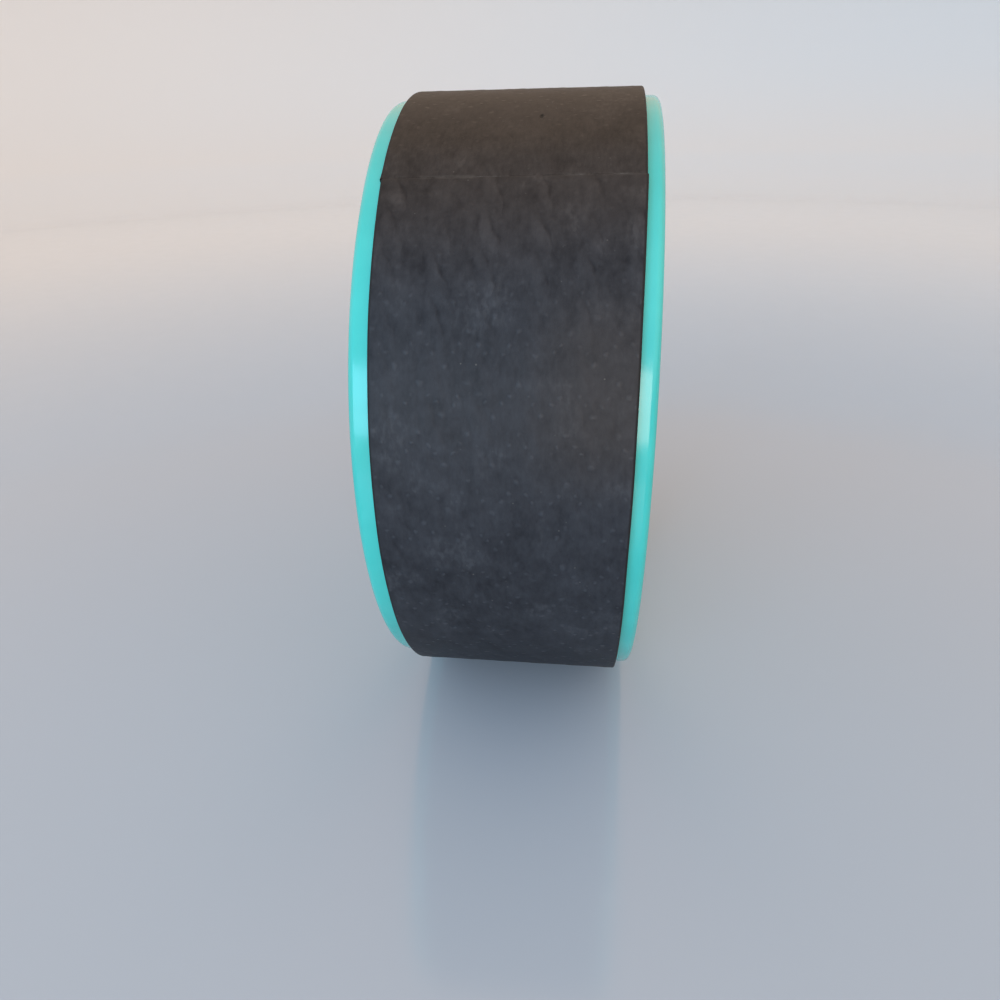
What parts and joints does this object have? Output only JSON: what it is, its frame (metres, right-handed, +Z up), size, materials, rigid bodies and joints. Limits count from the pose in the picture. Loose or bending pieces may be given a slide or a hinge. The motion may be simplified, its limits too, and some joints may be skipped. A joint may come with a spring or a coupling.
{
  "type": "yoga wheel",
  "caption": "Hollow round yoga wheel: a turquoise moulded hoop of two halves, wrapped in a black foam band, for stretching the back and balance work.",
  "frame": {"origin": "centre of the wheel, on its axis, half way across its width", "axes": "+Y along the wheel's axis towards the right rim as seen from the front, +Z up as the wheel stands, +X towards the front"},
  "size_m": [0.32, 0.128, 0.32],
  "materials": {
    "hoop_plastic": "glossy turquoise moulding",
    "foam": "matte black closed-cell foam, faintly embossed",
    "adhesive": "milky pressure-sensitive film",
    "glue": "pale set glue"
  },
  "bodies": {
    "root": {"hoop_half_left": "hoop_plastic", "hoop_half_right": "hoop_plastic", "adhesive_film": "adhesive", "foam_band": "foam", "seam_glue": "glue"}
  },
  "joints": []
}
